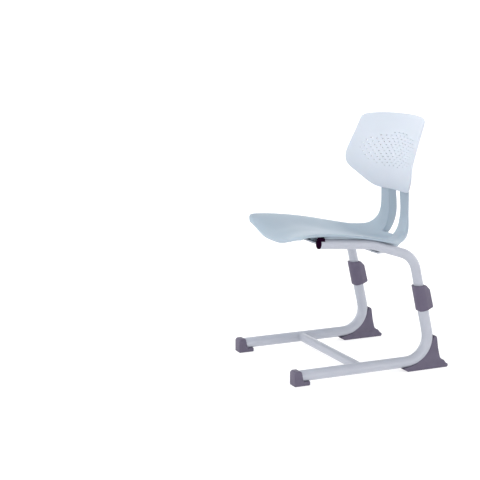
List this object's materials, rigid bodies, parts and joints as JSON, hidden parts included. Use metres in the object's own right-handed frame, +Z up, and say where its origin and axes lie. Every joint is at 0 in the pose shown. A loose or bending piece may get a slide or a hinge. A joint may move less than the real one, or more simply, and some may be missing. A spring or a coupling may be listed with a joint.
{
  "type": "student chair",
  "caption": "Height-adjustable classroom chair: one-piece moulded seat and slotted spine, curved back panel, and a cantilever frame of bent tubes that telescope in a floor frame.",
  "frame": {"origin": "on the floor, at the centre of the chair's overall box", "axes": "+X to the sitter's left, the sitter looks along -Y, +Y to the back, +Z up"},
  "size_m": [0.421, 0.504, 0.732],
  "materials": {
    "seat_plastic": "pale blue moulded polypropylene with a fine even grain, satin",
    "panel_plastic": "cool near-white moulded polypropylene, satin",
    "painted_steel": "very pale grey powder coat, satin",
    "cap_plastic": "very dark maroon plastic",
    "sleeve_plastic": "grey-plum moulded nylon, satin",
    "foot_plastic": "grey-plum moulded plastic, matt",
    "zinc_hardware": "bright zinc plate",
    "brass_insert": "plain turned brass"
  },
  "bodies": {
    "floor_frame": {"left_lower_tube": "painted_steel", "right_lower_tube": "painted_steel", "floor_crossbar": "painted_steel", "left_sleeve": "sleeve_plastic", "right_sleeve": "sleeve_plastic", "left_nut_plate": "zinc_hardware", "right_nut_plate": "zinc_hardware", "clamp_screws": "zinc_hardware", "clamp_washers": "zinc_hardware", "left_front_foot": "foot_plastic", "right_front_foot": "foot_plastic", "left_heel_foot": "foot_plastic", "right_heel_foot": "foot_plastic", "foot_screws": "zinc_hardware"},
    "seat_frame": {"seat_shell": "seat_plastic", "backrest_panel": "panel_plastic", "backrest_screws": "zinc_hardware", "seat_inserts": "brass_insert", "seat_screws": "zinc_hardware", "seat_washers": "zinc_hardware", "front_seat_cradle": "painted_steel", "rear_seat_cradle": "painted_steel", "left_upper_tube": "painted_steel", "right_upper_tube": "painted_steel", "left_tube_cap": "cap_plastic", "right_tube_cap": "cap_plastic"}
  },
  "joints": [
    {"name": "height_adjust", "type": "slide", "parent": "floor_frame", "child": "seat_frame", "axis": [0, -0.225, 0.9744], "range_m": [-0.03, 0.04]}
  ]
}
